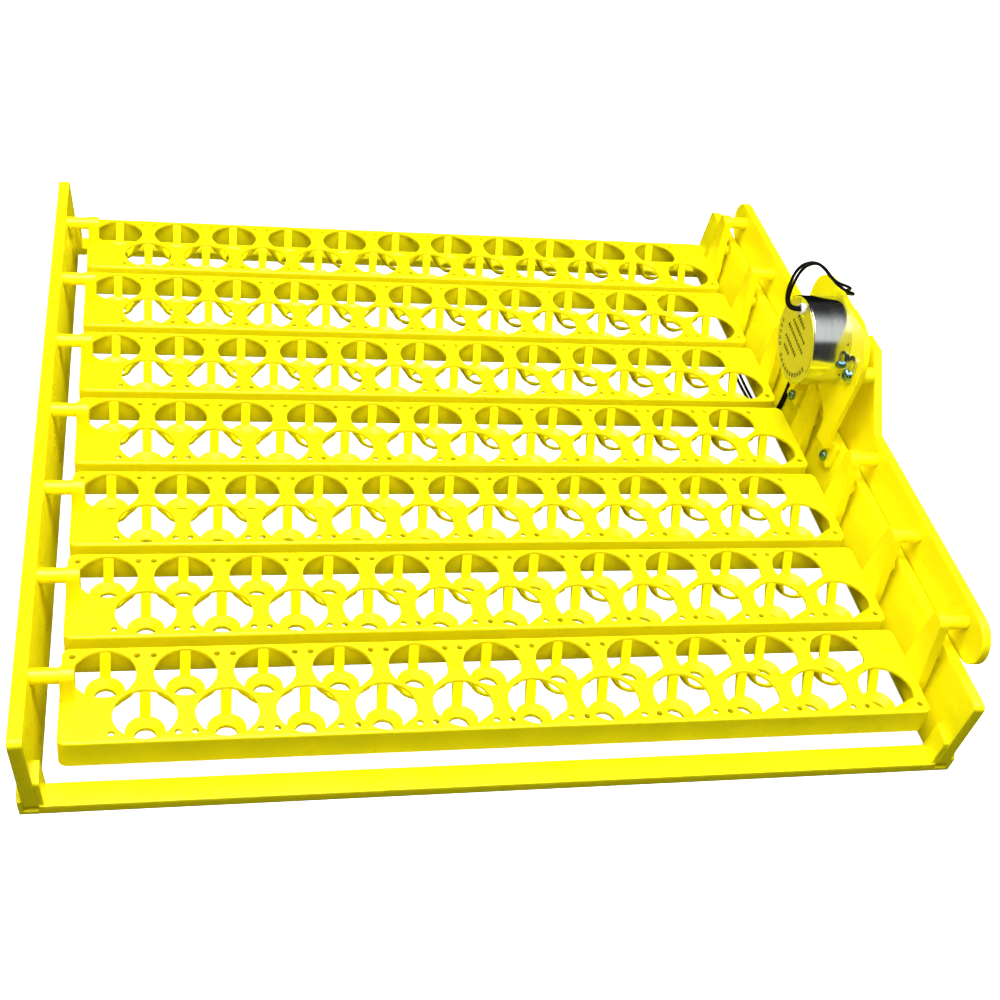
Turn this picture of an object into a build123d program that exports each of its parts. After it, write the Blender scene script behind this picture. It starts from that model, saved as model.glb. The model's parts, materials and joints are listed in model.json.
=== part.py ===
"""Motor-driven egg turner: seven tilting quail-egg racks in a four-piece frame.

Millimetres. X runs along the racks, Y from front to back, Z up from the table.
The origin is the bottom centre of the whole turner.
"""
from build123d import *
from math import atan2, cos, degrees, pi, radians, sin, sqrt, tan
import os

os.makedirs("parts", exist_ok=True)

# --- Racks: the pitch of the cups drives their size --------------------------
CUP_PITCH = 36.0
CUPS_PER_ROW = 11
CUP_R = 14.2
ROW_Y = 12.0
RACK_COUNT = 7
RACK_PITCH = 62.0
RACK_L = 416.0
RACK_W = 55.6
RACK_TOP_Z = 29.0
SKIN_T = 2.0
SKIRT_T = 1.5
SKIRT_H = 15.0
RACK_CORNER_R = 4.0
VENT_R = 1.6
VENT_X = 14.3
VENT_Y = 22.6

# --- Basket under each cup, heights below the rack's top ---------------------
RING_R = 9.0
RING_BORE_R = 5.0
RING_TOP = 12.5
RING_BORE_TOP = 16.0
RING_T = 2.2
RIB_W = 5.0
RIB_R = 15.3

# --- Pivots and the linkage --------------------------------------------------
PIVOT_Z = 42.0
LINK_R = 21.5
LINK_Z = PIVOT_Z + LINK_R
PIN_R = 3.7
RUNNING_GAP = 0.1
PIN_CHAMFER = 0.8
LUG_T = 6.4
LUG_INSET = 0.6
LUG_R = 4.3
ARM_T = 5.0
ARM_FOOT_W = 18.0
ARM_TOP_R = 5.0
ARM_FOOT_Z = 16.0

# --- Frame: the side plates lean outwards; X is that of their inner faces at the pivots --
LEFT_X = -221.0
RIGHT_X = 215.6
LEAN = 6.0
PLATE_T = 6.5
PLATE_WEB_T = 2.2
PLATE_RIM = 2.4
PLATE_L = 456.0
PLATE_Z0 = 2.9
PLATE_Z1 = 48.0
PLATE_CORNER_R = 3.0
BOSS_R = 5.8
RIB_T = 1.8
RACK_GAP_LEFT = 11.6
RACK_X0 = LEFT_X + RACK_GAP_LEFT
RACK_X1 = RACK_X0 + RACK_L
RACK_XC = (RACK_X0 + RACK_X1) / 2
BEAM_W = 12.5
BEAM_H = 5.0
BEAM_BASE_T = 2.0
BEAM_SKIN = 2.0
LIP_T = 2.0
LIP_H = 12.0
GUSSET_T = 2.5
GUSSET_H = 23.0

# --- Drive bar ---------------------------------------------------------------
BAR_X = 223.2
BAR_T = 5.0
BAR_H = 27.5
BAR_DROP = 4.25
BAR_OVERHANG = 20.0
YOKE_TOP_Z = 108.0
YOKE_FOOT_Y = 52.0
YOKE_TOP_Y = 20.0
YOKE_SLOT_W = 11.5
YOKE_SLOT_Z = 71.0

# --- Motor bracket -----------------------------------------------------------
HEAD_X = 207.2
HEAD_T = 3.0
HEAD_Y = 41.0
HEAD_Z1 = 126.5
HEAD_CORNER_R = 20.0
LEG_IN_Y = 21.5
LEG_OUT_Y = 33.0
LEG_Z = 47.0
ARCH_R = 28.0
FOOT_T = 3.0
FOOT_W = 15.0
FOOT_Z0 = 34.0
FOOT_SCREW_Y = 28.6
FOOT_SCREW_Z = 38.0
POST_R = 4.5
POST_L = 11.0
SCREW_R = 1.5
SCREW_FREE_R = 1.9

# --- Gear motor: a Ø50 synchronous motor with its shaft below the can's centre --
MOTOR_Z = 99.8
CAN_R = 25.0
CAN_L = 21.3
CAN_T = 0.8
EAR_PLATE_T = 1.0
EAR_Y = 30.5
EAR_W = 9.0
EAR_NECK_H = 11.0
EAR_SCREW_Z = 98.0
EAR_SLOT_TOP = 106.0
EAR_SLOT_W = 4.2
LABEL_T = 0.2
LABEL_INSET = 1.4
NOTCH_W = 9.0
NOTCH_H = 14.0
GROMMET_Y = 4.0
GROMMET_Z = MOTOR_Z + 18.0
GROMMET_R = 3.2
GROMMET_OUT = 1.6
GROMMET_DISH_R = 2.3
GROMMET_DISH = 0.6
SHAFT_DROP = 9.3
SHAFT_Z = MOTOR_Z - SHAFT_DROP
SHAFT_R = 3.5
SHAFT_FLAT = 0.7

# --- Inside the motor --------------------------------------------------------
COIL_L = 8.6
COIL_R = 19.0
COIL_BORE_R = 10.4
BOBBIN_R = 20.5
BOBBIN_BORE_R = 9.4
BOBBIN_T = 0.8
MAGNET_R = 8.0
SPINDLE_R = 1.0
GEAR_PLATE_T = 1.0
GEAR_MODULE = 0.5
GEAR_T = 1.6
LAYER_GAP = 0.2
MESH_GAP = 0.1
GEAR_POST_R = 0.8
WHEEL_TEETH = 36
PINION_TEETH = 9
OUTPUT_TEETH = 44
THIRD_GEAR_ANGLE = 147
SECOND_GEAR_ANGLE = 58

# --- Crank -------------------------------------------------------------------
CRANK_R = LINK_R * sin(radians(45))
CRANK_DISC_R = 19.5
CRANK_DISC_T = 4.0
CRANK_X = HEAD_X + HEAD_T + 2.0
CRANK_PIN_R = 2.5
CRANK_SCREW_R = 4.2
CRANK_SCREW_H = 2.2

# --- Motor leads -------------------------------------------------------------
LEAD_D = 1.8
TIP_L = 7.0
TIP_D = 1.1

rack_ys = [RACK_PITCH * (k - (RACK_COUNT - 1) / 2) for k in range(RACK_COUNT)]
row_l = (CUPS_PER_ROW - 1) * CUP_PITCH
back_cups = [
    (RACK_XC - CUP_PITCH / 4 - row_l / 2 + CUP_PITCH * i, ROW_Y) for i in range(CUPS_PER_ROW)
]
front_cups = [(x + CUP_PITCH / 2, -y) for x, y in back_cups]


def save(part, name):
    """Label one finished piece and write its STEP file."""
    part.label = name
    export_step(part, f"parts/{name}.step")


def pan_screw(plane, head_r, head_h, length):
    """A pan-head screw along a plane's normal, its head on the plane, with a cross recess."""
    with BuildPart() as screw:
        with BuildSketch(plane.offset(-head_h)):
            Circle(head_r)
        extrude(amount=head_h)
        fillet(screw.faces().sort_by(Axis.X)[0].edges(), head_h * 0.55)
        with BuildSketch(plane):
            Circle(SCREW_R)
        extrude(amount=length)
        with BuildSketch(plane.offset(-head_h)):
            Rectangle(head_r * 1.15, head_r * 0.28, rotation=25)
            Rectangle(head_r * 0.28, head_r * 1.15, rotation=25)
        extrude(amount=head_h * 0.6, mode=Mode.SUBTRACT)
    return screw.part


def plate_plane(side, offset=0.0):
    """The inner face of a side plate, or a plane that far outside it; local Y runs up it."""
    lean = radians(LEAN)
    inner_x = RIGHT_X if side > 0 else LEFT_X
    plane = Plane((inner_x, 0, PIVOT_Z), x_dir=(0, 1, 0), z_dir=(cos(lean), 0, -side * sin(lean)))
    return plane.offset(side * offset)


def up_plate(z):
    """How far a height is above the pivots, measured up a leaning side plate."""
    return (z - PIVOT_Z) / cos(radians(LEAN))


# --- Side plates -------------------------------------------------------------
def side_plate(side, screw_holes):
    """A ribbed side plate; side is -1 for the left one and +1 for the right one."""
    plane = plate_plane(side)
    bottom = up_plate(PLATE_Z0)
    height = up_plate(PLATE_Z1) - bottom
    middle = bottom + height / 2
    rib_ys = [y + RACK_PITCH / 2 for y in rack_ys[:-1]]
    screws = [(y, up_plate(FOOT_SCREW_Z)) for y in screw_holes]
    with BuildPart() as plate:
        with BuildSketch(plane):
            with Locations((0, middle)):
                RectangleRounded(PLATE_L, height, PLATE_CORNER_R)
        extrude(amount=side * PLATE_WEB_T)
        with BuildSketch(plane):
            with Locations((0, middle)):
                RectangleRounded(PLATE_L, height, PLATE_CORNER_R)
                Rectangle(PLATE_L - 2 * PLATE_RIM, height - 2 * PLATE_RIM, mode=Mode.SUBTRACT)
            with Locations([(y, 0) for y in rack_ys]):
                Circle(BOSS_R)
            with Locations([(y, middle) for y in rib_ys]):
                Rectangle(RIB_T, height)
            with Locations([(y, (bottom - BOSS_R + 1) / 2) for y in rack_ys]):
                Rectangle(RIB_T, -BOSS_R + 1 - bottom)
            if screws:
                with Locations(screws):
                    Circle(POST_R)
        extrude(amount=side * PLATE_T)
        outer = plate.faces().sort_by(Axis.X)[-1 if side > 0 else 0]
        fillet(outer.outer_wire().edges(), 0.8)
        with BuildSketch(Plane.YZ.offset(plane.origin.X - side * 2)):
            with Locations([(y, PIVOT_Z) for y in rack_ys]):
                Circle(PIN_R + RUNNING_GAP)
        extrude(amount=side * (PLATE_T + 4), mode=Mode.SUBTRACT)
        if screws:
            with BuildSketch(plane):
                with Locations(screws):
                    Circle(SCREW_R)
            extrude(amount=side * PLATE_T, mode=Mode.SUBTRACT)
    return plate.part


save(side_plate(-1, []), "left_side_plate")
save(side_plate(1, [-FOOT_SCREW_Y, FOOT_SCREW_Y]), "right_side_plate")


# --- Beams that clip the side plates together --------------------------------
def beam(end):
    """The front (-1) or rear (+1) beam with a clip for a side plate at each end."""
    y_out = end * PLATE_L / 2
    y_mid = y_out - end * BEAM_W / 2
    y_in = y_out - end * BEAM_W
    lean = radians(LEAN)
    web_inset = (PIVOT_Z - PLATE_Z0) * tan(lean)
    base_inset = PIVOT_Z * tan(lean) - (PLATE_T + LIP_T) / cos(lean)
    frame_xc = (LEFT_X + RIGHT_X) / 2
    web_l = RIGHT_X - LEFT_X - 2 * web_inset
    base_l = RIGHT_X - LEFT_X - 2 * base_inset
    pocket_l = (web_l - 2 * GUSSET_T - 11 * BEAM_SKIN) / 10
    below = up_plate(0) - 2
    with BuildPart() as bar:
        with BuildSketch(Plane.XY):
            with Locations((frame_xc, y_mid)):
                Rectangle(base_l, BEAM_W)
        extrude(amount=BEAM_BASE_T)
        with BuildSketch(Plane.XY):
            with Locations((frame_xc, y_mid)):
                Rectangle(web_l, BEAM_W)
        extrude(amount=BEAM_H)
        with BuildSketch(Plane.XY):
            with Locations((frame_xc, y_mid)):
                with GridLocations(pocket_l + BEAM_SKIN, 1, 10, 1):
                    Rectangle(pocket_l, BEAM_W - 2 * BEAM_SKIN)
        extrude(amount=BEAM_H - BEAM_SKIN, mode=Mode.SUBTRACT)
        for side in (-1, 1):
            with BuildSketch(plate_plane(side, PLATE_T)):
                with BuildLine():
                    Polyline(
                        (y_out, below),
                        (y_out, up_plate(LIP_H) - 3),
                        (y_out - end * 3, up_plate(LIP_H)),
                        (y_in, up_plate(LIP_H)),
                        (y_in, below),
                        close=True,
                    )
                make_face()
            extrude(amount=side * LIP_T)
            with BuildSketch(plate_plane(side, -GUSSET_T)) as cheek:
                with BuildLine():
                    Polyline(
                        (y_out - end * 0.6, below),
                        (y_out - end * 0.6, up_plate(GUSSET_H) - 3),
                        (y_in, up_plate(GUSSET_H)),
                        (y_in, below),
                        close=True,
                    )
                make_face()
                fillet(cheek.vertices().sort_by(Axis.Y)[-2:], 2.0)
            extrude(amount=side * GUSSET_T)
        with BuildSketch(Plane.XY):
            with Locations((0, y_mid)):
                Rectangle(2 * PLATE_L, 2 * BEAM_W)
        extrude(amount=-10, mode=Mode.SUBTRACT)
    return bar.part


save(beam(-1), "front_beam")
save(beam(1), "rear_beam")


# --- Egg racks ---------------------------------------------------------------
with BuildPart() as basket:
    with BuildSketch(Plane.XZ):
        with BuildLine():
            Polyline(
                (RING_BORE_R, -RING_BORE_TOP),
                (RING_R, -RING_TOP),
                (RING_R, -RING_TOP - RING_T),
                (RING_BORE_R, -RING_BORE_TOP - RING_T),
                close=True,
            )
        make_face()
    revolve(axis=Axis.Z)
    for angle in (90, 210, 330):
        arm_plane = Plane((0, 0, 0), x_dir=(cos(radians(angle)), sin(radians(angle)), 0),
                          z_dir=(sin(radians(angle)), -cos(radians(angle)), 0))
        with BuildSketch(arm_plane):
            with BuildLine():
                Polyline(
                    (RIB_R, -SKIN_T * 0.6),
                    (CUP_R - 0.3, -SKIN_T),
                    (RING_R - 0.6, -RING_TOP - 0.4),
                    (RING_R - 0.6, -RING_TOP - RING_T),
                    (RIB_R, -SKIN_T - 3.0),
                    close=True,
                )
            make_face()
        extrude(amount=RIB_W / 2, both=True)

lug_x = RACK_X0 + LUG_INSET
left_pin_x = LEFT_X - PLATE_T + 0.5
right_pin_x = RIGHT_X + PLATE_T - 0.5
arm_x = RACK_X1 + ARM_T
top_plane = Plane.XY.offset(RACK_TOP_Z)
all_cups = back_cups + front_cups
vents = [(x + s * VENT_X, VENT_Y) for x, y in back_cups for s in (-1, 1)]
vents += [(x + s * VENT_X, -VENT_Y) for x, y in front_cups for s in (-1, 1)]
foot_half = ARM_FOOT_W / 2

with BuildPart() as egg_rack:
    with BuildSketch(top_plane):
        with Locations((RACK_XC, 0)):
            RectangleRounded(RACK_L, RACK_W, RACK_CORNER_R)
    extrude(amount=-SKIRT_H)
    fillet(egg_rack.faces().sort_by(Axis.Z)[-1].edges(), 1.0)
    with BuildSketch(top_plane.offset(-SKIN_T)):
        with Locations((RACK_XC, 0)):
            RectangleRounded(RACK_L - 2 * SKIRT_T, RACK_W - 2 * SKIRT_T, RACK_CORNER_R - SKIRT_T)
    extrude(amount=-SKIRT_H, mode=Mode.SUBTRACT)
    with BuildSketch(top_plane):
        with Locations(all_cups):
            Circle(CUP_R)
        with Locations(vents):
            Circle(VENT_R)
    extrude(amount=-SKIN_T, mode=Mode.SUBTRACT)
    with Locations([(x, y, RACK_TOP_Z) for x, y in all_cups]):
        add(basket.part)
    with BuildSketch(Plane.YZ.offset(lug_x)):
        with Locations((0, PIVOT_Z)):
            Circle(LUG_R)
        with Locations((0, (RACK_TOP_Z - 1 + PIVOT_Z) / 2)):
            Rectangle(2 * LUG_R, PIVOT_Z - RACK_TOP_Z + 1)
    extrude(amount=LUG_T)
    with BuildSketch(Plane.YZ.offset(lug_x)):
        with Locations((0, PIVOT_Z)):
            Circle(PIN_R)
    extrude(amount=left_pin_x - lug_x)
    chamfer(egg_rack.faces().sort_by(Axis.X)[0].edges(), PIN_CHAMFER)
    with BuildSketch(Plane.YZ.offset(RACK_X1)) as arm_outline:
        with BuildLine():
            Polyline(
                (-foot_half, ARM_FOOT_Z),
                (-foot_half, RACK_TOP_Z),
                (-ARM_TOP_R, LINK_Z),
                (ARM_TOP_R, LINK_Z),
                (foot_half, RACK_TOP_Z),
                (foot_half, ARM_FOOT_Z),
                close=True,
            )
        make_face()
        with Locations((0, LINK_Z)):
            Circle(ARM_TOP_R)
    extrude(amount=ARM_T)
    with BuildSketch(Plane.YZ.offset(arm_x)):
        with Locations((0, PIVOT_Z)):
            Circle(PIN_R)
    extrude(amount=right_pin_x - arm_x)
    with BuildSketch(Plane.YZ.offset(arm_x)):
        with Locations((0, LINK_Z)):
            Circle(PIN_R)
    extrude(amount=BAR_X + BAR_T - 0.3 - arm_x)
    chamfer(egg_rack.faces().filter_by(Axis.X).sort_by(Axis.X)[-2:].edges(), PIN_CHAMFER)

for number, rack_y in enumerate(rack_ys, start=1):
    save(egg_rack.part.moved(Location((0, rack_y, 0))), f"egg_rack_{number}")


# --- Drive bar with its slotted yoke -----------------------------------------
bar_l = rack_ys[-1] - rack_ys[0] + 2 * BAR_OVERHANG
bar_z = LINK_Z - BAR_DROP
with BuildPart() as drive_bar:
    with BuildSketch(Plane.YZ.offset(BAR_X)):
        with Locations((0, bar_z)):
            SlotOverall(bar_l, BAR_H)
        with BuildLine():
            Polyline(
                (-YOKE_FOOT_Y, LINK_Z),
                (-YOKE_FOOT_Y, bar_z + BAR_H / 2),
                (-YOKE_TOP_Y, YOKE_TOP_Z),
                (YOKE_TOP_Y, YOKE_TOP_Z),
                (YOKE_FOOT_Y, bar_z + BAR_H / 2),
                (YOKE_FOOT_Y, LINK_Z),
                close=True,
            )
        make_face()
        with Locations((0, (YOKE_SLOT_Z + YOKE_TOP_Z + 1) / 2)):
            Rectangle(YOKE_SLOT_W, YOKE_TOP_Z + 1 - YOKE_SLOT_Z, mode=Mode.SUBTRACT)
        with Locations([(y, LINK_Z) for y in rack_ys]):
            Circle(PIN_R + RUNNING_GAP, mode=Mode.SUBTRACT)
    extrude(amount=BAR_T)
    for face in (drive_bar.faces().sort_by(Axis.X)[-1], drive_bar.faces().sort_by(Axis.X)[0]):
        chamfer(face.outer_wire().edges(), 0.5)
save(drive_bar.part, "drive_bar")


# --- Motor bracket -----------------------------------------------------------
arch_spring_z = PIVOT_Z + sqrt(ARCH_R**2 - LEG_IN_Y**2)
foot_plane = plate_plane(1, -FOOT_T)
foot_screws = [(s * FOOT_SCREW_Y, up_plate(FOOT_SCREW_Z)) for s in (-1, 1)]

with BuildPart() as motor_bracket:
    with BuildSketch(Plane.YZ.offset(HEAD_X)) as head:
        with BuildLine():
            Polyline(
                (-LEG_OUT_Y, LEG_Z),
                (-HEAD_Y, MOTOR_Z),
                (-HEAD_Y, HEAD_Z1),
                (HEAD_Y, HEAD_Z1),
                (HEAD_Y, MOTOR_Z),
                (LEG_OUT_Y, LEG_Z),
                close=True,
            )
        make_face()
        fillet(head.vertices().group_by(Axis.Y)[-1], HEAD_CORNER_R)
        with BuildLine():
            Line((-LEG_IN_Y, LEG_Z), (-LEG_IN_Y, arch_spring_z))
            ThreePointArc(
                (-LEG_IN_Y, arch_spring_z), (0, PIVOT_Z + ARCH_R), (LEG_IN_Y, arch_spring_z)
            )
            Line((LEG_IN_Y, arch_spring_z), (LEG_IN_Y, LEG_Z))
            Line((LEG_IN_Y, LEG_Z), (-LEG_IN_Y, LEG_Z))
        make_face(mode=Mode.SUBTRACT)
        with Locations((0, SHAFT_Z)):
            Circle(SHAFT_R + 1.5, mode=Mode.SUBTRACT)
    extrude(amount=HEAD_T)
    leg_mid = (LEG_IN_Y + LEG_OUT_Y) / 2
    for side in (-1, 1):
        with BuildSketch(Plane.XY.offset(LEG_Z)):
            with Locations(((HEAD_X + RIGHT_X) / 2, side * leg_mid)):
                Rectangle(RIGHT_X - HEAD_X, LEG_OUT_Y - LEG_IN_Y)
        extrude(amount=FOOT_T)
        with BuildSketch(foot_plane):
            with Locations((side * FOOT_SCREW_Y, up_plate((LEG_Z + FOOT_T + FOOT_Z0) / 2))):
                RectangleRounded(FOOT_W, LEG_Z + FOOT_T - FOOT_Z0, 1.5)
        extrude(amount=FOOT_T)
        with BuildSketch(Plane.YZ.offset(HEAD_X + HEAD_T)):
            with Locations((side * EAR_Y, EAR_SCREW_Z)):
                Circle(POST_R)
        extrude(amount=POST_L)
    with BuildSketch(Plane.YZ.offset(HEAD_X)):
        with Locations([(s * EAR_Y, EAR_SCREW_Z) for s in (-1, 1)]):
            Circle(SCREW_R)
    extrude(amount=HEAD_T + POST_L - 1.5, mode=Mode.SUBTRACT)
    with BuildSketch(foot_plane):
        with Locations(foot_screws):
            Circle(SCREW_FREE_R)
    extrude(amount=FOOT_T, mode=Mode.SUBTRACT)
save(motor_bracket.part, "motor_bracket")

foot_screw_planes = [
    Plane(foot_plane.from_local_coords((y, v, 0)), x_dir=(0, 1, 0), z_dir=foot_plane.z_dir)
    for y, v in foot_screws
]
save(
    Compound(children=[pan_screw(p, 3.2, 2.2, FOOT_T + PLATE_T - 1) for p in foot_screw_planes]),
    "bracket_screws",
)
ear_screw_planes = [
    Plane((HEAD_X - EAR_PLATE_T, s * EAR_Y, EAR_SCREW_Z), x_dir=(0, 1, 0), z_dir=(1, 0, 0))
    for s in (-1, 1)
]
save(Compound(children=[pan_screw(p, 3.4, 2.4, 12.0) for p in ear_screw_planes]), "ear_screws")


# --- Gear motor --------------------------------------------------------------
plate_x = HEAD_X - EAR_PLATE_T
can_x = plate_x - CAN_L


def disc(x, centre, r, length):
    """A round bar along +X from the plane x, about a centre in Y and Z."""
    with BuildPart() as bar:
        with BuildSketch(Plane.YZ.offset(x)):
            with Locations(centre):
                Circle(r)
        extrude(amount=length)
    return bar.part


def tube(x, centre, r, bore_r, length):
    """A round tube along +X from the plane x, about a centre in Y and Z."""
    with BuildPart() as ring:
        with BuildSketch(Plane.YZ.offset(x)):
            with Locations(centre):
                Circle(r)
                Circle(bore_r, mode=Mode.SUBTRACT)
        extrude(amount=length)
    return ring.part


rotor_at = (0, MOTOR_Z)
output_at = (0, SHAFT_Z)
grommet_at = (GROMMET_Y, GROMMET_Z)

# a deep-drawn can, closed on the label side, with a hole for the grommet
with BuildPart() as motor_can:
    with BuildSketch(Plane.YZ.offset(can_x)):
        with Locations(rotor_at):
            Circle(CAN_R)
    extrude(amount=CAN_L)
    fillet(motor_can.faces().sort_by(Axis.X)[0].edges(), 0.6)
    with BuildSketch(Plane.YZ.offset(can_x + CAN_T)):
        with Locations(rotor_at):
            Circle(CAN_R - CAN_T)
    extrude(amount=CAN_L, mode=Mode.SUBTRACT)
    with BuildSketch(Plane.YZ.offset(can_x)):
        with Locations(grommet_at):
            Circle(GROMMET_R)
    extrude(amount=CAN_T, mode=Mode.SUBTRACT)
save(motor_can.part, "motor_can")

ear_mid = (EAR_SCREW_Z + EAR_SLOT_TOP) / 2
ear_travel = EAR_SLOT_TOP - EAR_SCREW_Z
with BuildPart() as motor_end_plate:
    with BuildSketch(Plane.YZ.offset(plate_x)):
        with Locations(rotor_at):
            Circle(CAN_R)
        for side in (-1, 1):
            with Locations((side * EAR_Y, ear_mid)):
                SlotOverall(ear_travel + EAR_W, EAR_W, rotation=90)
            with Locations((side * (CAN_R - 3 + EAR_Y) / 2, ear_mid)):
                Rectangle(EAR_Y - CAN_R + 3, EAR_NECK_H)
            with Locations((side * EAR_Y, ear_mid)):
                SlotOverall(
                    ear_travel + EAR_SLOT_W, EAR_SLOT_W, rotation=90, mode=Mode.SUBTRACT
                )
        with Locations(output_at):
            Circle(SHAFT_R + RUNNING_GAP / 2, mode=Mode.SUBTRACT)
    extrude(amount=EAR_PLATE_T)
save(motor_end_plate.part, "motor_end_plate")

# the label leaves a square notch round the grommet, open to its edge
with BuildPart() as motor_label:
    with BuildSketch(Plane.YZ.offset(can_x - LABEL_T)):
        with Locations(rotor_at):
            Circle(CAN_R - LABEL_INSET)
        with Locations((GROMMET_Y, GROMMET_Z - NOTCH_W / 2 + NOTCH_H / 2)):
            Rectangle(NOTCH_W, NOTCH_H, mode=Mode.SUBTRACT)
    extrude(amount=LABEL_T)
save(motor_label.part, "motor_label")

# the grommet's face is dished inside its rim, and the leads come out of the dish
lead_x = can_x - GROMMET_OUT + GROMMET_DISH
with BuildPart() as lead_grommet:
    with BuildSketch(Plane.YZ.offset(can_x - GROMMET_OUT)):
        with Locations(grommet_at):
            Circle(GROMMET_R)
    extrude(amount=GROMMET_OUT + CAN_T)
    with BuildSketch(Plane.YZ.offset(lead_x)):
        with Locations(grommet_at):
            Circle(GROMMET_DISH_R)
    extrude(amount=-GROMMET_DISH, mode=Mode.SUBTRACT)
save(lead_grommet.part, "lead_grommet")

coil_x = can_x + CAN_T + 0.4
with BuildPart() as coil_bobbin:
    with BuildSketch(Plane.YZ.offset(coil_x)):
        with Locations(rotor_at):
            Circle(BOBBIN_R)
    extrude(amount=COIL_L)
    with BuildSketch(Plane.YZ.offset(coil_x + BOBBIN_T)):
        with Locations(rotor_at):
            Circle(BOBBIN_R)
            Circle(COIL_BORE_R, mode=Mode.SUBTRACT)
    extrude(amount=COIL_L - 2 * BOBBIN_T, mode=Mode.SUBTRACT)
    with BuildSketch(Plane.YZ.offset(coil_x)):
        with Locations(rotor_at):
            Circle(BOBBIN_BORE_R)
    extrude(amount=COIL_L, mode=Mode.SUBTRACT)
save(coil_bobbin.part, "coil_bobbin")
save(
    tube(coil_x + BOBBIN_T, rotor_at, COIL_R, COIL_BORE_R, COIL_L - 2 * BOBBIN_T),
    "stator_coil",
)
save(tube(coil_x + 0.5, rotor_at, MAGNET_R, SPINDLE_R, COIL_L - 1.0), "rotor_magnet")

# --- Reduction gears between the rotor and the output shaft ------------------
gear_plate_x = coil_x + COIL_L + 0.4
gear_x = gear_plate_x + GEAR_PLATE_T + 0.3
layer = GEAR_T + LAYER_GAP


def tip_r(teeth):
    """The radius over a gear's teeth."""
    return teeth * GEAR_MODULE / 2 + GEAR_MODULE


def away(centre, distance, angle):
    """A centre at a distance and an angle from another one, in Y and Z."""
    turn = radians(angle)
    return (centre[0] + distance * cos(turn), centre[1] + distance * sin(turn))


def gear_outline(centre, teeth):
    """A toothed disc with trapezoidal teeth, drawn in the current sketch."""
    pitch_r = teeth * GEAR_MODULE / 2
    tooth_w = 2 * pitch_r * sin(radians(90 / teeth))
    with Locations(centre):
        Circle(pitch_r - GEAR_MODULE * 1.1)
        with PolarLocations(0, teeth):
            with Locations((pitch_r - GEAR_MODULE * 0.2, 0)):
                Trapezoid(tooth_w * 1.15, GEAR_MODULE * 1.9, 78, rotation=-90)


def compound_gear(x, centre):
    """A wheel with its pinion on its +X side, turning on a fixed post."""
    with BuildPart() as gear:
        with BuildSketch(Plane.YZ.offset(x)):
            gear_outline(centre, WHEEL_TEETH)
        extrude(amount=GEAR_T)
        with BuildSketch(Plane.YZ.offset(x + GEAR_T)):
            gear_outline(centre, PINION_TEETH)
        extrude(amount=GEAR_T)
        with BuildSketch(Plane.YZ.offset(x)):
            with Locations(centre):
                Circle(GEAR_POST_R + RUNNING_GAP / 2)
        extrude(amount=2 * GEAR_T, mode=Mode.SUBTRACT)
    return gear.part


# each gear's centre keeps its tips clear of the next one's roots
step = tip_r(WHEEL_TEETH) + tip_r(PINION_TEETH) + MESH_GAP
last_step = tip_r(OUTPUT_TEETH) + tip_r(PINION_TEETH) + 3 * MESH_GAP
third_at = away(output_at, last_step, THIRD_GEAR_ANGLE)
second_at = away(third_at, step, SECOND_GEAR_ANGLE)
gap_y = rotor_at[0] - second_at[0]
gap_z = rotor_at[1] - second_at[1]
half_gap = sqrt(gap_y**2 + gap_z**2) / 2
first_angle = degrees(atan2(gap_z, gap_y) + atan2(sqrt(step**2 - half_gap**2), half_gap))
first_at = away(second_at, step, first_angle)
train = (first_at, second_at, third_at)

with BuildPart() as gear_plate:
    with BuildSketch(Plane.YZ.offset(gear_plate_x)):
        with Locations(rotor_at):
            Circle(CAN_R - CAN_T - 0.1)
            Circle(SPINDLE_R + 0.3, mode=Mode.SUBTRACT)
    extrude(amount=GEAR_PLATE_T)
save(gear_plate.part, "gear_plate")

gears = [compound_gear(gear_x + i * layer, at) for i, at in enumerate(train)]
save(Compound(children=gears), "reduction_gears")

post_x = gear_plate_x + GEAR_PLATE_T
posts = [disc(post_x, at, GEAR_POST_R, plate_x - post_x) for at in train]
save(Compound(children=posts), "gear_posts")

with BuildPart() as rotor_spindle:
    with BuildSketch(Plane.YZ.offset(can_x + CAN_T)):
        with Locations(rotor_at):
            Circle(SPINDLE_R)
    extrude(amount=gear_x + GEAR_T - can_x - CAN_T)
    with BuildSketch(Plane.YZ.offset(gear_x)):
        gear_outline(rotor_at, PINION_TEETH)
    extrude(amount=GEAR_T)
save(rotor_spindle.part, "rotor_spindle")

with BuildPart() as output_gear:
    with BuildSketch(Plane.YZ.offset(gear_x + 3 * layer)):
        gear_outline(output_at, OUTPUT_TEETH)
        with Locations(output_at):
            Circle(SHAFT_R, mode=Mode.SUBTRACT)
    extrude(amount=GEAR_T)
save(output_gear.part, "output_gear")


# --- Output shaft and crank --------------------------------------------------
def flatted_shaft():
    """The shaft's section where the crank sits on it: a circle with two flats."""
    with Locations(output_at):
        Circle(SHAFT_R)
        Rectangle(2 * SHAFT_R, 2 * (SHAFT_R - SHAFT_FLAT), mode=Mode.INTERSECT)


with BuildPart() as output_shaft:
    with BuildSketch(Plane.YZ.offset(gear_x)):
        with Locations(output_at):
            Circle(SHAFT_R)
    extrude(amount=CRANK_X - gear_x)
    with BuildSketch(Plane.YZ.offset(CRANK_X)):
        flatted_shaft()
        with Locations(output_at):
            Circle(SCREW_R, mode=Mode.SUBTRACT)
    extrude(amount=CRANK_DISC_T)
save(output_shaft.part, "output_shaft")

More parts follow.
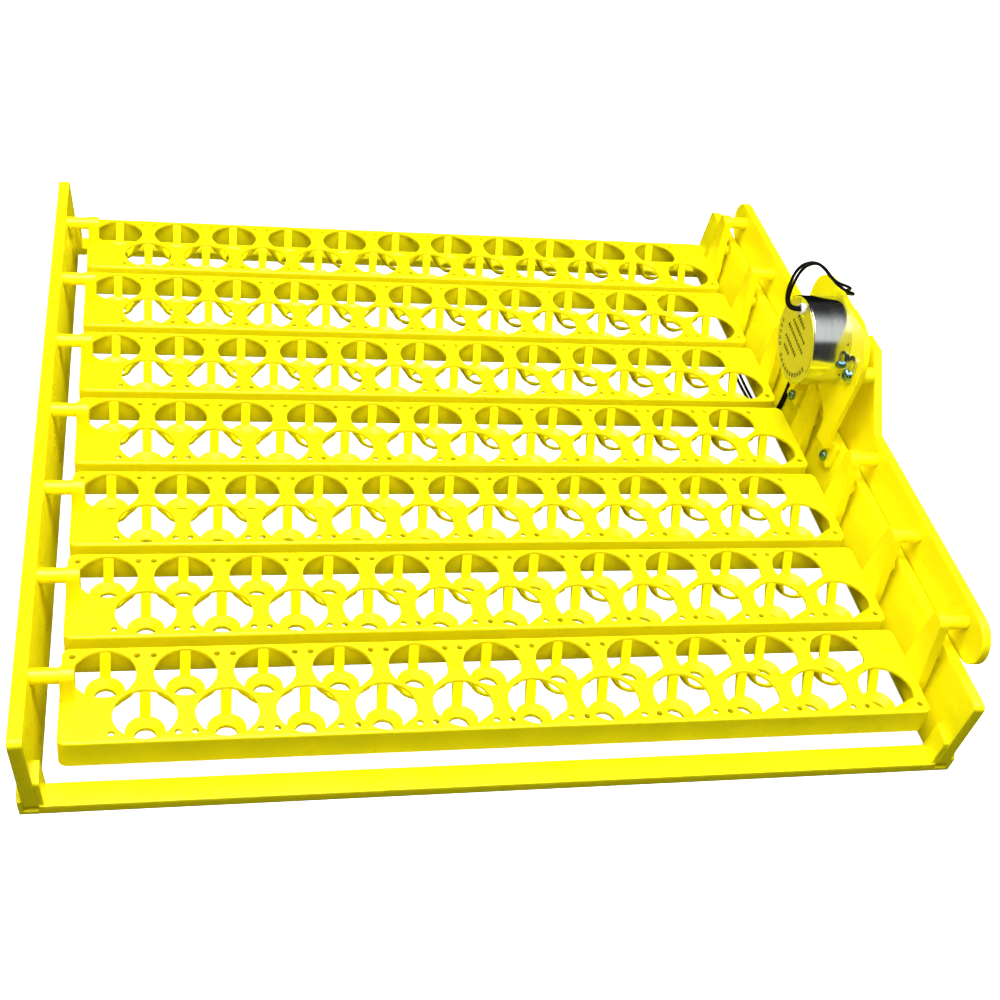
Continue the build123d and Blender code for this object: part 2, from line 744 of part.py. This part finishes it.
pin_at = (0, SHAFT_Z - CRANK_R)
with BuildPart() as crank_disc:
    with BuildSketch(Plane.YZ.offset(CRANK_X)):
        with Locations(output_at):
            Circle(CRANK_DISC_R)
    extrude(amount=CRANK_DISC_T)
    fillet(crank_disc.edges().filter_by(GeomType.CIRCLE), 0.6)
    with BuildSketch(Plane.YZ.offset(CRANK_X)):
        flatted_shaft()
        with Locations(pin_at):
            Circle(CRANK_PIN_R)
    extrude(amount=CRANK_DISC_T, mode=Mode.SUBTRACT)
save(crank_disc.part, "crank_disc")
save(disc(CRANK_X, pin_at, CRANK_PIN_R, BAR_X + BAR_T - 0.4 - CRANK_X), "crank_pin")

screw_x = CRANK_X + CRANK_DISC_T
with BuildPart() as crank_screw:
    with BuildSketch(Plane.YZ.offset(screw_x)):
        with Locations(output_at):
            Circle(CRANK_SCREW_R)
    extrude(amount=CRANK_SCREW_H)
    fillet(crank_screw.faces().sort_by(Axis.X)[-1].edges(), 1.2)
    with BuildSketch(Plane.YZ.offset(screw_x)):
        with Locations(output_at):
            Circle(SCREW_R)
    extrude(amount=-CRANK_DISC_T)
    with BuildSketch(Plane.YZ.offset(screw_x + CRANK_SCREW_H)):
        with Locations(output_at):
            Rectangle(4.4, 1.0)
            Rectangle(1.0, 4.4)
    extrude(amount=-1.3, mode=Mode.SUBTRACT)
save(crank_screw.part, "crank_screw")

# --- Motor leads: up from the grommet, over the bracket and down behind it ---
lead_routes = {
    "front_lead": [
        (lead_x, 2.9, 117.8),
        (178.4, 2.9, 117.8),
        (174.2, 3.0, 121.2),
        (172.0, 3.0, 127.6),
        (171.8, 2.9, 136.4),
        (172.9, 2.6, 144.2),
        (176.4, 2.2, 148.9),
        (182.2, 1.9, 149.9),
        (188.4, 1.8, 146.6),
        (194.0, 1.9, 141.0),
        (200.4, 2.2, 135.2),
        (207.6, 3.2, 130.9),
        (214.2, 6.6, 127.4),
        (217.8, 13.4, 122.2),
        (218.2, 22.6, 117.0),
        (217.0, 31.4, 111.6),
        (215.8, 37.6, 102.6),
        (215.2, 39.4, 89.0),
        (214.6, 38.4, 72.0),
        (214.2, 37.5, 53.0),
        (213.4, 37.5, 35.0),
        (212.2, 37.8, 19.5),
        (211.2, 40.6, 9.6),
        (210.4, 47.6, 2.6),
        (210.2, 58.4, 0.95),
        (209.6, 74.0, 1.0),
        (209.2, 92.0, 0.95),
        (209.8, 108.0, 1.0),
    ],
    "rear_lead": [
        (lead_x, 5.1, 117.8),
        (180.0, 5.1, 117.8),
        (176.6, 5.3, 120.0),
        (174.9, 5.5, 124.6),
        (175.2, 5.6, 132.2),
        (176.7, 5.6, 141.0),
        (179.9, 5.4, 145.9),
        (185.4, 5.2, 147.4),
        (191.0, 5.2, 143.6),
        (196.4, 5.4, 137.8),
        (202.8, 5.8, 134.2),
        (209.4, 7.2, 131.6),
        (215.0, 12.2, 126.8),
        (216.2, 19.8, 120.6),
        (215.4, 28.6, 115.2),
        (214.6, 35.6, 108.6),
        (213.6, 40.6, 98.0),
        (213.2, 41.4, 83.0),
        (213.1, 40.6, 65.0),
        (213.4, 40.0, 49.0),
        (213.3, 40.0, 34.0),
        (212.1, 40.4, 18.0),
        (211.0, 44.4, 8.6),
        (208.2, 52.2, 2.4),
        (207.4, 63.0, 0.95),
        (206.4, 78.0, 1.0),
        (206.0, 94.0, 0.95),
        (206.8, 106.0, 1.0),
    ],
}


def arc_radii(points):
    """For each corner, the radius of an arc that takes 0.45 of the shorter run."""
    radii = []
    for before, at, after in zip(points, points[1:], points[2:]):
        into = Vector(*at) - Vector(*before)
        out = Vector(*after) - Vector(*at)
        half_turn = radians(into.get_angle(out)) / 2
        radii.append(0.45 * min(into.length, out.length) / tan(half_turn))
    return radii


for lead_name, points in lead_routes.items():
    radii = arc_radii(points)
    print(lead_name, "radii", [round(r, 1) for r in radii])
    with BuildPart() as lead:
        with BuildLine():
            route = FilletPolyline(*points, radius=radii)
        with BuildSketch(Plane(route @ 0, z_dir=route % 0)):
            Circle(LEAD_D / 2)
        sweep(path=route)
    full = pi * (LEAD_D / 2) ** 2 * route.length
    print(lead_name, "length", round(route.length, 1), "volume share", lead.part.volume / full)
    save(lead.part, lead_name)
    with BuildPart() as tip:
        with BuildSketch(Plane(route @ 1, z_dir=route % 1)):
            Circle(TIP_D / 2)
        extrude(amount=TIP_L)
    save(tip.part, f"{lead_name}_tip")
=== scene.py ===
import json
import random
from math import cos, pi, radians, sin

import bmesh
import bpy
from mathutils import Matrix, Vector


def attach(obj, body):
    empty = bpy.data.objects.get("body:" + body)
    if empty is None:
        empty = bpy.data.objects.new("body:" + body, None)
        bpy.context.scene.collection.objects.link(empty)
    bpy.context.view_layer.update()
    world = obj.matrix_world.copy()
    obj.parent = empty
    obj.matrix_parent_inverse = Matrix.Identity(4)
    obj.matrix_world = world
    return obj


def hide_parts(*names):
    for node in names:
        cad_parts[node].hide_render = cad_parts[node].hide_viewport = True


MM = 0.001

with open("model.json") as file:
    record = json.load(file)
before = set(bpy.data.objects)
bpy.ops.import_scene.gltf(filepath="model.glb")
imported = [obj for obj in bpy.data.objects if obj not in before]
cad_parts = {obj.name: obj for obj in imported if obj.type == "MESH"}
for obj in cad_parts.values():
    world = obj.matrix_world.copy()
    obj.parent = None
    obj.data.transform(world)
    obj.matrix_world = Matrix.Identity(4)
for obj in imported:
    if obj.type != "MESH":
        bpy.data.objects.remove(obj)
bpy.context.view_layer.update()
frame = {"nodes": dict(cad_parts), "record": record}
scene = bpy.context.scene

# --- Camera: above the front left, tipped a little to one side ---------------
CAMERA_AT = (-0.1669, -0.6246, 0.5405)
CAMERA_AZIMUTH = 17.68
CAMERA_DOWN = 40.66
CAMERA_ROLL = 11.68
CAMERA_LENS = 52.07


def make_camera():
    """The camera looks along an azimuth and down, and is then rolled about its own axis."""
    azimuth, down = radians(CAMERA_AZIMUTH), radians(CAMERA_DOWN)
    look = Vector((sin(azimuth) * cos(down), cos(azimuth) * cos(down), -sin(down)))
    level = look.to_track_quat("-Z", "Y").to_matrix().to_4x4()
    camera = bpy.data.objects.new("camera", bpy.data.cameras.new("camera"))
    camera.data.lens = CAMERA_LENS
    camera.matrix_world = (
        Matrix.Translation(CAMERA_AT) @ level @ Matrix.Rotation(radians(CAMERA_ROLL), 4, "Z")
    )
    scene.collection.objects.link(camera)
    scene.camera = camera


make_camera()

# --- Motor leads: the routes are in millimetres, from the grommet to the tinned tip ----
LEAD_D = 1.8 * MM
LEAD_X = 183.9
FRONT_LEAD_ROUTE = [
    (LEAD_X, 2.9, 117.8),
    (178.4, 2.9, 117.8),
    (174.2, 3.0, 121.2),
    (172.0, 3.0, 127.6),
    (171.8, 2.9, 136.4),
    (172.9, 2.6, 144.2),
    (176.4, 2.2, 148.9),
    (182.2, 1.9, 149.9),
    (188.4, 1.8, 146.6),
    (194.0, 1.9, 141.0),
    (200.4, 2.2, 135.2),
    (207.6, 3.2, 130.9),
    (214.2, 6.6, 127.4),
    (217.8, 13.4, 122.2),
    (218.2, 22.6, 117.0),
    (217.0, 31.4, 111.6),
    (215.8, 37.6, 102.6),
    (215.2, 39.4, 89.0),
    (214.6, 38.4, 72.0),
    (214.2, 37.5, 53.0),
    (213.4, 37.5, 35.0),
    (212.2, 37.8, 19.5),
    (211.2, 40.6, 9.6),
    (210.4, 47.6, 2.6),
    (210.2, 58.4, 0.95),
    (209.6, 74.0, 1.0),
    (209.2, 92.0, 0.95),
    (209.8, 108.0, 1.0),
]
REAR_LEAD_ROUTE = [
    (LEAD_X, 5.1, 117.8),
    (180.0, 5.1, 117.8),
    (176.6, 5.3, 120.0),
    (174.9, 5.5, 124.6),
    (175.2, 5.6, 132.2),
    (176.7, 5.6, 141.0),
    (179.9, 5.4, 145.9),
    (185.4, 5.2, 147.4),
    (191.0, 5.2, 143.6),
    (196.4, 5.4, 137.8),
    (202.8, 5.8, 134.2),
    (209.4, 7.2, 131.6),
    (215.0, 12.2, 126.8),
    (216.2, 19.8, 120.6),
    (215.4, 28.6, 115.2),
    (214.6, 35.6, 108.6),
    (213.6, 40.6, 98.0),
    (213.2, 41.4, 83.0),
    (213.1, 40.6, 65.0),
    (213.4, 40.0, 49.0),
    (213.3, 40.0, 34.0),
    (212.1, 40.4, 18.0),
    (211.0, 44.4, 8.6),
    (208.2, 52.2, 2.4),
    (207.4, 63.0, 0.95),
    (206.4, 78.0, 1.0),
    (206.0, 94.0, 0.95),
    (206.8, 106.0, 1.0),
]


def make_lead(node, route):
    """One lead: a smooth line along its route, with a round section.

    The section's radius is on the points, so that the curve's own bounds are true.
    """
    curve = bpy.data.curves.new(f"{node}_line", "CURVE")
    curve.dimensions = "3D"
    spline = curve.splines.new("NURBS")
    spline.points.add(len(route) - 1)
    for point, (x, y, z) in zip(spline.points, route):
        point.co = (x * MM, y * MM, z * MM, 1)
        point.radius = LEAD_D / 2
    spline.order_u = 3
    spline.use_endpoint_u = True
    spline.resolution_u = 12
    curve.bevel_depth = 1
    curve.bevel_resolution = 5
    curve.use_fill_caps = True
    lead = bpy.data.objects.new(f"{node}_line", curve)
    scene.collection.objects.link(lead)
    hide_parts(node)
    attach(lead, "frame")
    return lead


front_lead = make_lead("front_lead", FRONT_LEAD_ROUTE)
rear_lead = make_lead("rear_lead", REAR_LEAD_ROUTE)


# --- Materials ---------------------------------------------------------------
NOISE_RANGE = (0.3, 0.7)
SOFT_EDGE = 0.6 * MM


def new_material(name):
    """A material with its Principled shader and its node tree."""
    material = bpy.data.materials.new(name)
    material.use_nodes = True
    tree = material.node_tree
    tree.nodes.clear()
    shader = tree.nodes.new("ShaderNodeBsdfPrincipled")
    output = tree.nodes.new("ShaderNodeOutputMaterial")
    tree.links.new(shader.outputs["BSDF"], output.inputs["Surface"])
    return material, tree, shader


def noise(tree, scale, detail, stretch=(1, 1, 1)):
    """Noise over the piece's own coordinates, in metres, stretched along its axes."""
    place = tree.nodes.new("ShaderNodeTexCoord")
    mapping = tree.nodes.new("ShaderNodeMapping")
    mapping.inputs["Scale"].default_value = stretch
    texture = tree.nodes.new("ShaderNodeTexNoise")
    texture.inputs["Scale"].default_value = scale
    texture.inputs["Detail"].default_value = detail
    tree.links.new(place.outputs["Object"], mapping.inputs["Vector"])
    tree.links.new(mapping.outputs["Vector"], texture.inputs["Vector"])
    return texture.outputs["Fac"]


def ramp(tree, value, low, high):
    """Maps noise to a colour between two colours."""
    node = tree.nodes.new("ShaderNodeValToRGB")
    for element, stop, colour in zip(node.color_ramp.elements, NOISE_RANGE, (low, high)):
        element.position = stop
        element.color = (*colour, 1)
    tree.links.new(value, node.inputs["Fac"])
    return node.outputs["Color"]


def map_range(tree, value, start, end, low, high):
    """Maps a value from start to end to a number from low to high."""
    node = tree.nodes.new("ShaderNodeMapRange")
    node.inputs["From Min"].default_value = start
    node.inputs["From Max"].default_value = end
    node.inputs["To Min"].default_value = low
    node.inputs["To Max"].default_value = high
    tree.links.new(value, node.inputs["Value"])
    return node


def spread(tree, value, low, high):
    """Maps noise to a number between two limits."""
    return map_range(tree, value, *NOISE_RANGE, low, high).outputs["Result"]


def bump(tree, shader, value, distance, strength, soft_edge=0.0):
    """Bends the shader's normal by a height, and rounds the look of the edges if asked to."""
    node = tree.nodes.new("ShaderNodeBump")
    if soft_edge:
        edge = tree.nodes.new("ShaderNodeBevel")
        edge.samples = 4
        edge.inputs["Radius"].default_value = soft_edge
        tree.links.new(edge.outputs["Normal"], node.inputs["Normal"])
    node.inputs["Strength"].default_value = strength
    node.inputs["Distance"].default_value = distance
    tree.links.new(value, node.inputs["Height"])
    tree.links.new(node.outputs["Normal"], shader.inputs["Normal"])


def moulded_plastic(name, low, high):
    """Glossy injection-moulded plastic: faint flow streaks and a slight orange peel."""
    material, tree, shader = new_material(name)
    streaks = noise(tree, scale=9, detail=2, stretch=(0.25, 1, 1))
    tree.links.new(ramp(tree, streaks, low, high), shader.inputs["Base Color"])
    roughness = spread(tree, noise(tree, scale=90, detail=3), 0.26, 0.36)
    tree.links.new(roughness, shader.inputs["Roughness"])
    peel = noise(tree, scale=600, detail=2)
    bump(tree, shader, peel, distance=0.01 * MM, strength=0.3, soft_edge=SOFT_EDGE)
    shader.inputs["IOR"].default_value = 1.49
    shader.inputs["Specular IOR Level"].default_value = 0.3
    shader.inputs["Subsurface Weight"].default_value = 0.5
    shader.inputs["Subsurface Radius"].default_value = (1.0, 0.8, 0.05)
    shader.inputs["Subsurface Scale"].default_value = 4 * MM
    return material


def metal(name, low, high, rough, scale=400, stretch=(1, 1, 1), grain=0.01 * MM):
    """Bare or plated metal with a fine grain, which stretch draws out into lines."""
    material, tree, shader = new_material(name)
    fine = noise(tree, scale, detail=3, stretch=stretch)
    tree.links.new(ramp(tree, fine, low, high), shader.inputs["Base Color"])
    tree.links.new(spread(tree, fine, *rough), shader.inputs["Roughness"])
    bump(tree, shader, fine, distance=grain, strength=0.4)
    shader.inputs["Metallic"].default_value = 1.0
    return material


def soft_plastic(name, low, high, rough, scale=300, shine=0.5):
    """Matte plastic, rubber or nylon."""
    material, tree, shader = new_material(name)
    mottle = noise(tree, scale, detail=4)
    tree.links.new(ramp(tree, mottle, low, high), shader.inputs["Base Color"])
    roughness = spread(tree, noise(tree, scale * 2, detail=2), *rough)
    tree.links.new(roughness, shader.inputs["Roughness"])
    bump(tree, shader, noise(tree, scale * 4, detail=2), distance=0.01 * MM, strength=0.5)
    shader.inputs["Specular IOR Level"].default_value = shine
    return material


YELLOW = (0.96, 0.84, 0.003)
YELLOW_DEEP = (0.955, 0.82, 0.002)
finishes = {
    "rack_plastic": moulded_plastic("rack_yellow", YELLOW_DEEP, YELLOW),
    "frame_plastic": moulded_plastic("frame_yellow", YELLOW_DEEP, (0.94, 0.84, 0.004)),
    "crank_plastic": moulded_plastic("crank_yellow", YELLOW_DEEP, YELLOW),
    "motor_steel": metal(
        "drawn_steel", (0.66, 0.69, 0.68), (0.72, 0.75, 0.74), rough=(0.14, 0.19),
        scale=700, stretch=(1, 0.06, 0.06), grain=0.002 * MM,
    ),
    "label_foil": metal(
        "gold_foil", (0.70, 0.67, 0.20), (0.76, 0.74, 0.25), rough=(0.42, 0.52), scale=250,
    ),
    "zinc_screw": metal(
        "blue_zinc", (0.06, 0.20, 0.42), (0.32, 0.48, 0.64), rough=(0.16, 0.28), scale=700,
    ),
    "grommet_plastic": soft_plastic(
        "white_nylon", (0.78, 0.78, 0.75), (0.86, 0.86, 0.84), rough=(0.35, 0.5),
    ),
    "nylon": soft_plastic(
        "natural_nylon", (0.76, 0.73, 0.62), (0.84, 0.82, 0.72), rough=(0.35, 0.5),
    ),
    "copper_winding": metal(
        "copper", (0.52, 0.20, 0.08), (0.72, 0.34, 0.16), rough=(0.25, 0.4),
        scale=900, stretch=(1, 0.1, 0.1),
    ),
    "ferrite": soft_plastic(
        "ferrite", (0.02, 0.02, 0.022), (0.05, 0.05, 0.055), rough=(0.5, 0.7),
    ),
    "shaft_steel": metal(
        "ground_steel", (0.55, 0.56, 0.57), (0.72, 0.73, 0.74), rough=(0.14, 0.24), scale=800,
    ),
    "lead_insulation": soft_plastic(
        "black_pvc", (0.001, 0.001, 0.001), (0.003, 0.003, 0.003), rough=(0.35, 0.5), shine=0.12,
    ),
    "tinned_wire": metal(
        "tinned_copper", (0.60, 0.60, 0.58), (0.78, 0.78, 0.77), rough=(0.2, 0.35),
    ),
}


def finish_nodes():
    """Gives each CAD node, and each lead, the material of its slot."""
    slots = {s["node"]: s["material_slot"] for s in frame["record"]["subparts"]}
    for name, node in frame["nodes"].items():
        node.data.materials.clear()
        node.data.materials.append(finishes[slots[name]])
    for lead in (front_lead, rear_lead):
        lead.data.materials.append(finishes["lead_insulation"])


finish_nodes()


# --- Small marks on the motor, in millimetres and degrees --------------------
MOTOR_Z = 99.8
LABEL_FACE_X = 184.68
INK_T = 0.03
MARK_CLIP = 0.3  # of a mark's width
PRINT_SEED = 7
RIM_MARK_R = 20.3
RIM_MARK_ANGLES = [-2, -12, -22, -32, -42] + [-62 - 9.8 * step for step in range(11)]
RIM_PAIR_ANGLE = 1.6
RIM_MARK_LENGTHS = (2.2, 2.9)
RIM_MARK_WIDTHS = (0.6, 0.8)
# Each row: its place across the label, its shift along itself, and its number of pairs.
MARK_ROWS = [(12.0, -1.0, 5), (6.4, 0.5, 9), (0.8, 0.0, 11), (-6.2, -2.0, 8), (-11.6, -4.5, 4)]
ROW_ANGLE = -173
ROW_STEP = 2.4
ROW_PAIR_HALF = 0.45
ROW_LEANS = (90, 84, 96)
ROW_MARK_LENGTHS = (1.8, 2.6)
ROW_MARK_WIDTH = 0.7
CRIMP_ANGLES = range(15, 360, 45)
CRIMP_X = 205.4
CRIMP_R = 25.03
CRIMP_HALF_ARC = 0.036  # in radians
CRIMP_DEPTH = 0.9
CRIMP_T = 0.08
CRIMP_STEPS = 8


def thicken(build, points, shift):
    """Adds a flat face through the points and extrudes it by a shift."""
    face = build.faces.new([build.verts.new(point) for point in points])
    solid = bmesh.ops.extrude_face_region(build, geom=[face])
    moved = [part for part in solid["geom"] if isinstance(part, bmesh.types.BMVert)]
    bmesh.ops.translate(build, verts=moved, vec=shift)


def add_object(name, build, material):
    """Turns a finished bmesh into an object of the scene."""
    mesh = bpy.data.meshes.new(name)
    build.to_mesh(mesh)
    build.free()
    piece = bpy.data.objects.new(name, mesh)
    scene.collection.objects.link(piece)
    mesh.materials.append(material)
    return piece


def add_mark(build, y, z, angle, length, width):
    """One flat printed mark with clipped corners, about a point of the label's face."""
    half, wide, clip = length / 2, width / 2, width * MARK_CLIP
    outline = [
        (-half + clip, -wide), (half - clip, -wide), (half, -wide + clip), (half, wide - clip),
        (half - clip, wide), (-half + clip, wide), (-half, wide - clip), (-half, -wide + clip),
    ]
    turn = radians(angle)
    points = [
        (
            LABEL_FACE_X * MM,
            (y + u * cos(turn) - v * sin(turn)) * MM,
            (z + u * sin(turn) + v * cos(turn)) * MM,
        )
        for u, v in outline
    ]
    thicken(build, points, (-INK_T * MM, 0, 0))


def make_label_print():
    """Plain strokes that stand for the print: a ring along the rim, and slanted rows inside it."""
    draw = random.Random(PRINT_SEED)
    build = bmesh.new()
    for middle in RIM_MARK_ANGLES:
        for angle in (middle - RIM_PAIR_ANGLE, middle + RIM_PAIR_ANGLE):
            y = RIM_MARK_R * cos(radians(angle))
            z = MOTOR_Z + RIM_MARK_R * sin(radians(angle))
            length = draw.uniform(*RIM_MARK_LENGTHS)
            width = draw.uniform(*RIM_MARK_WIDTHS)
            add_mark(build, y, z, angle, length, width)
    turn = radians(ROW_ANGLE)
    for across, shift, count in MARK_ROWS:
        for index in range(count):
            middle = shift + (index - (count - 1) / 2) * ROW_STEP
            for along in (middle - ROW_PAIR_HALF, middle + ROW_PAIR_HALF):
                y = along * cos(turn) + across * sin(turn)
                z = MOTOR_Z + along * sin(turn) - across * cos(turn)
                lean = ROW_ANGLE + draw.choice(ROW_LEANS)
                add_mark(build, y, z, lean, draw.uniform(*ROW_MARK_LENGTHS), ROW_MARK_WIDTH)
    ink = soft_plastic(
        "label_ink", (0.006, 0.005, 0.003), (0.014, 0.012, 0.008), rough=(0.4, 0.55),
        scale=900, shine=0.2,
    )
    marks = add_object("label_print", build, ink)
    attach(marks, "frame")


def make_crimp_shade():
    """Thin dark half-round sheets round the can's open rim: painted shade that stands for the
    staking dents, which are not cut into the can.
    """
    build = bmesh.new()
    for angle in CRIMP_ANGLES:
        middle = radians(angle)
        points = []
        for step in range(CRIMP_STEPS + 1):
            bow = pi * step / CRIMP_STEPS
            turn = middle + CRIMP_HALF_ARC * cos(bow)
            x = CRIMP_X - CRIMP_DEPTH * sin(bow)
            y, z = CRIMP_R * cos(turn), MOTOR_Z + CRIMP_R * sin(turn)
            points.append((x * MM, y * MM, z * MM))
        thicken(build, points, (0, CRIMP_T * MM * cos(middle), CRIMP_T * MM * sin(middle)))
    bmesh.ops.recalc_face_normals(build, faces=build.faces)
    # Painted shade: a near-black steel colour stands for the shade inside the dents.
    dent_shade = metal("crimp_painted_shade", (0.05, 0.05, 0.05), (0.12, 0.12, 0.12), rough=(0.4, 0.6))
    crimp_shade_sheets = add_object("can_crimp_shade", build, dent_shade)
    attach(crimp_shade_sheets, "frame")


make_label_print()
make_crimp_shade()


# --- Floor and light, in metres and watts ------------------------------------
FLOOR_HALF = 3.0
SOFT_BOXES = {
    "key": {"at": (-0.15, -0.15, 1.35), "aim": (0, 0, 0), "size": 1.1, "power": 38},
    "left": {"at": (-1.2, 0.1, 0.9), "aim": (0, 0, 0.03), "size": 0.7, "power": 2.5},
    "right": {"at": (1.2, 0.1, 0.9), "aim": (0, 0, 0.03), "size": 0.7, "power": 8},
}
# The world's light between two directions: where the change starts and ends, and its
# strength there. It falls from front to back, and grows with height.
WORLD_DEPTH = (-0.5, 0.35, 0.8, 0.03)
WORLD_HEIGHT = (0.38, 0.55, 0.05, 1.0)
# The floor's glow, and the world's where the camera looks straight at it.
PALE = 0.95


def make_floor():
    """A pale studio floor that fades into the background."""
    build = bmesh.new()
    corners = [(-1, -1), (1, -1), (1, 1), (-1, 1)]
    build.faces.new([build.verts.new((x * FLOOR_HALF, y * FLOOR_HALF, 0)) for x, y in corners])
    material, _, shader = new_material("pale_floor")
    shader.inputs["Base Color"].default_value = (0.8, 0.8, 0.8, 1)
    shader.inputs["Roughness"].default_value = 0.8
    shader.inputs["Specular IOR Level"].default_value = 0.0
    shader.inputs["Emission Color"].default_value = (1, 1, 1, 1)
    shader.inputs["Emission Strength"].default_value = PALE
    floor = add_object("floor", build, material)
    floor.visible_diffuse = False
    floor.visible_glossy = False


def make_soft_box(name, at, aim, size, power):
    """A square area light that faces a point."""
    light = bpy.data.lights.new(name, "AREA")
    light.shape = "SQUARE"
    light.size = size
    light.energy = power
    box = bpy.data.objects.new(name, light)
    box.location = at
    box.rotation_euler = (Vector(aim) - Vector(at)).to_track_quat("-Z", "Y").to_euler()
    scene.collection.objects.link(box)


def smooth_range(tree, value, start, end, low, high):
    """Maps a value from start to end to a number from low to high, with soft ends."""
    node = map_range(tree, value, start, end, low, high)
    node.interpolation_type = "SMOOTHSTEP"
    return node.outputs["Result"]


def make_world():
    """Lit from in front and above, and dim behind and low, but plain pale to the camera."""
    world = bpy.data.worlds.new("studio")
    world.use_nodes = True
    tree = world.node_tree
    place = tree.nodes.new("ShaderNodeTexCoord")
    split = tree.nodes.new("ShaderNodeSeparateXYZ")
    tree.links.new(place.outputs["Generated"], split.inputs["Vector"])
    depth = smooth_range(tree, split.outputs["Y"], *WORLD_DEPTH)
    height = smooth_range(tree, split.outputs["Z"], *WORLD_HEIGHT)
    product = tree.nodes.new("ShaderNodeMath")
    product.operation = "MULTIPLY"
    tree.links.new(depth, product.inputs[0])
    tree.links.new(height, product.inputs[1])
    path = tree.nodes.new("ShaderNodeLightPath")
    seen = tree.nodes.new("ShaderNodeMix")
    seen.inputs["B"].default_value = PALE
    tree.links.new(path.outputs["Is Camera Ray"], seen.inputs["Factor"])
    tree.links.new(product.outputs["Value"], seen.inputs["A"])
    backdrop = tree.nodes["Background"]
    backdrop.inputs["Color"].default_value = (1, 1, 1, 1)
    tree.links.new(seen.outputs["Result"], backdrop.inputs["Strength"])
    scene.world = world


make_floor()
make_world()
for name, box in SOFT_BOXES.items():
    make_soft_box(name, **box)
scene.view_settings.view_transform = "Standard"
